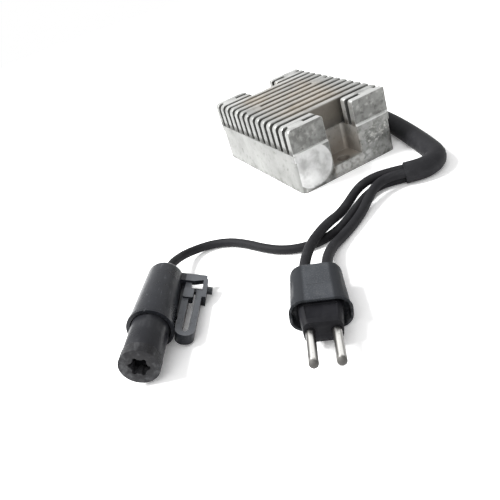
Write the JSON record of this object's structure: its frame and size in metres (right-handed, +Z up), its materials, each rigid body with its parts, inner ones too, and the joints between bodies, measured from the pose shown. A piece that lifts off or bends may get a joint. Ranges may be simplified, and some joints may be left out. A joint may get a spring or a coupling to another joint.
{
  "type": "voltage regulator rectifier",
  "caption": "Finned cast-aluminium regulator rectifier with a notched bolt-down base and sleeved leads to a two-pin plug and a one-way latching connector.",
  "frame": {"origin": "middle of the mounting face that the casting stands on", "axes": "+X along the fins, towards the side that the cable sleeve leaves; +Y across the fins, away from the loose connectors; +Z up from the mounting face"},
  "size_m": [0.206, 0.2191, 0.036],
  "materials": {
    "cast_aluminium": "sand-textured casting with bright worn fin tips, brown stains and a few white oxide blooms",
    "potting_resin": "self-levelled resin",
    "board_laminate": "lacquered",
    "screw_steel": "zinc plated",
    "film": "smooth",
    "power_device": "moulded body on a metal tab",
    "capacitor_can": "sleeved can",
    "small_device": "moulded",
    "zener_glass": "sealed bead",
    "resistor_body": "lacquered",
    "tinned_brass": "tinned",
    "cable_rubber": "dull, lightly scuffed",
    "sleeve_rubber": "dull, dusty",
    "plug_rubber": "satin, scuffed on its edges",
    "insert_plastic": "dull, worn",
    "pin_steel": "plated, darkened at the tips",
    "connector_plastic": "semi-gloss, scratched",
    "seal_rubber": "matt"
  },
  "bodies": {
    "root": {"heatsink_housing": "cast_aluminium", "potting_compound": "potting_resin", "circuit_board": "board_laminate", "board_screws": "screw_steel", "insulating_film": "film", "thyristor_1": "power_device", "thyristor_2": "power_device", "rectifier_diode_1": "power_device", "rectifier_diode_2": "power_device", "device_screws": "screw_steel", "filter_capacitor": "capacitor_can", "control_transistor": "small_device", "zener_diode": "zener_glass", "resistor_1": "resistor_body", "resistor_2": "resistor_body", "resistor_3": "resistor_body", "stator_tab_a": "tinned_brass", "stator_tab_b": "tinned_brass", "output_tab": "tinned_brass", "stator_lead_end_a": "cable_rubber", "stator_lead_end_b": "cable_rubber", "output_lead_end": "cable_rubber", "cable_grommet": "sleeve_rubber", "cable_sleeve": "sleeve_rubber", "stator_cable_a": "cable_rubber", "stator_cable_b": "cable_rubber", "output_wire": "cable_rubber", "plug_body": "plug_rubber", "plug_insert": "insert_plastic", "plug_pin_a": "pin_steel", "plug_pin_b": "pin_steel", "connector_shell": "connector_plastic", "connector_nose": "insert_plastic", "connector_seal": "seal_rubber", "connector_wire_seal": "seal_rubber", "connector_socket": "tinned_brass"}
  },
  "joints": []
}
